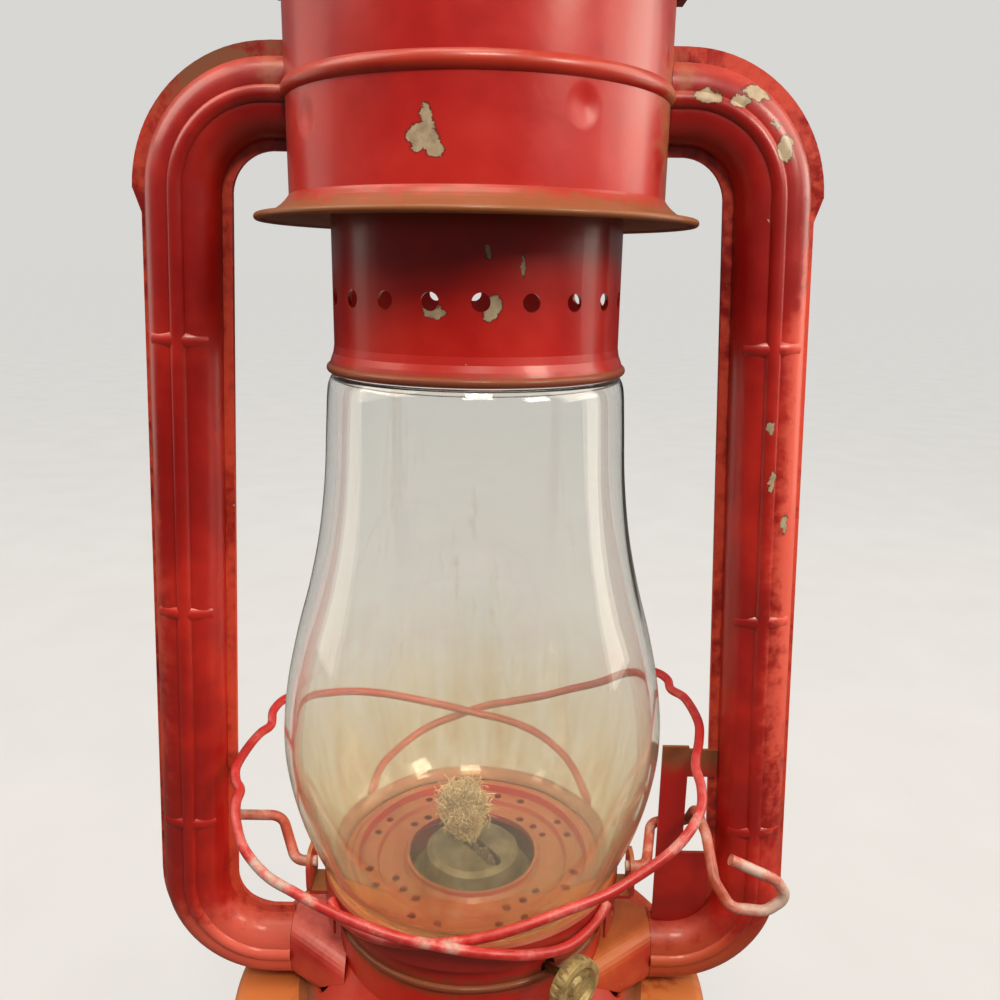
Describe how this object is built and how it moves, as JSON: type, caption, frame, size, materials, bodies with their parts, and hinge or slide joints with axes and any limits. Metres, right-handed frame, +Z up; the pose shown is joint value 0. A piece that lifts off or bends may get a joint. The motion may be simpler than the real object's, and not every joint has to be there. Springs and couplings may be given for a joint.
{
  "type": "kerosene lantern",
  "caption": "Upright tubular kerosene lantern with a pear glass globe, hollow side tubes, a wire globe guard, a lift lever, a flat-wick burner and a round fount.",
  "frame": {"origin": "centre of the fount's underside, on the globe's axis", "axes": "+Z up along the globe, +X towards the lift lever's side, -Y towards the front with the wick knob"},
  "size_m": [0.197, 0.1662, 0.4676],
  "materials": {
    "red_paint": "glossy enamel",
    "worn_wire": "worn enamel",
    "bare_steel": "dull tinplate",
    "brass": "tarnished",
    "globe_glass": "clear, dusty",
    "cotton_wick": "woven, charred top",
    "cork_gasket": "pressed cork"
  },
  "bodies": {
    "frame": {"fount_shell": "red_paint", "fount_bottom": "red_paint", "filler_neck": "brass", "air_bowl": "red_paint", "left_saddle": "red_paint", "right_saddle": "red_paint", "left_tube_front": "red_paint", "left_tube_back": "red_paint", "right_tube_front": "red_paint", "right_tube_back": "red_paint", "air_chamber": "red_paint", "chamber_roof": "bare_steel", "flue": "bare_steel", "crown": "red_paint", "vent_band": "red_paint", "top_cap": "red_paint", "bail_ears": "red_paint", "burner_collar": "brass", "burner_base": "brass", "wick_tube": "brass", "burner_cone": "bare_steel", "lever_bracket": "red_paint"},
    "lever": {"lift_lever": "worn_wire"},
    "crank": {"left_crank": "worn_wire"},
    "globe_carrier": {"globe_plate": "red_paint", "globe": "globe_glass", "left_guard": "worn_wire", "right_guard": "worn_wire"},
    "chimney": {"chimney": "red_paint", "chimney_spring": "bare_steel"},
    "raiser": {"raiser_shaft": "brass", "spur_wheels": "brass", "raiser_knob": "brass"},
    "wick": {"wick": "cotton_wick"},
    "filler_seal": {"filler_gasket": "cork_gasket"},
    "filler_cap": {"filler_cap": "brass"},
    "bail": {"bail": "bare_steel"}
  },
  "joints": [
    {"name": "lever_turn", "type": "hinge", "parent": "frame", "child": "lever", "pos_m": [0, 0.005, 0.1195], "axis": [-1, 0, 0], "range_deg": [0, 40]},
    {"name": "crank_turn", "type": "hinge", "parent": "frame", "child": "crank", "pos_m": [0, 0.005, 0.1195], "axis": [-1, 0, 0], "range_deg": [0, 40]},
    {"name": "globe_lift", "type": "slide", "parent": "frame", "child": "globe_carrier", "axis": [0, 0, 1], "range_m": [0, 0.01094]},
    {"name": "chimney_lift", "type": "slide", "parent": "frame", "child": "chimney", "axis": [0, 0, 1], "range_m": [0, 0.011], "deforming": ["chimney_spring"]},
    {"name": "raiser_turn", "type": "hinge", "parent": "frame", "child": "raiser", "pos_m": [-0.00468, -0.00422, 0.0995], "axis": [0.6691, -0.7431, 0], "range_deg": [-150, 45]},
    {"name": "wick_slide", "type": "slide", "parent": "frame", "child": "wick", "axis": [0, 0, 1], "range_m": [-0.0127, 0.0039]},
    {"name": "filler_lift", "type": "slide", "parent": "frame", "child": "filler_seal", "axis": [0, 0, 1], "range_m": [0, 0.03]},
    {"name": "filler_turn", "type": "hinge", "parent": "filler_seal", "child": "filler_cap", "pos_m": [0, 0.0635, 0.0756], "axis": [0, 0, 1], "continuous": true},
    {"name": "bail_swing", "type": "hinge", "parent": "frame", "child": "bail", "pos_m": [0, 0, 0.36], "axis": [1, 0, 0], "range_deg": [-120, 120]}
  ],
  "couplings": [
    {"joint": "lever_turn", "follows": "globe_lift", "rad_per_m": 63.788},
    {"joint": "crank_turn", "follows": "globe_lift", "rad_per_m": 63.788},
    {"joint": "chimney_lift", "follows": "globe_lift", "ratio": 1},
    {"joint": "wick_slide", "follows": "raiser_turn", "m_per_rad": 0.0048}
  ]
}
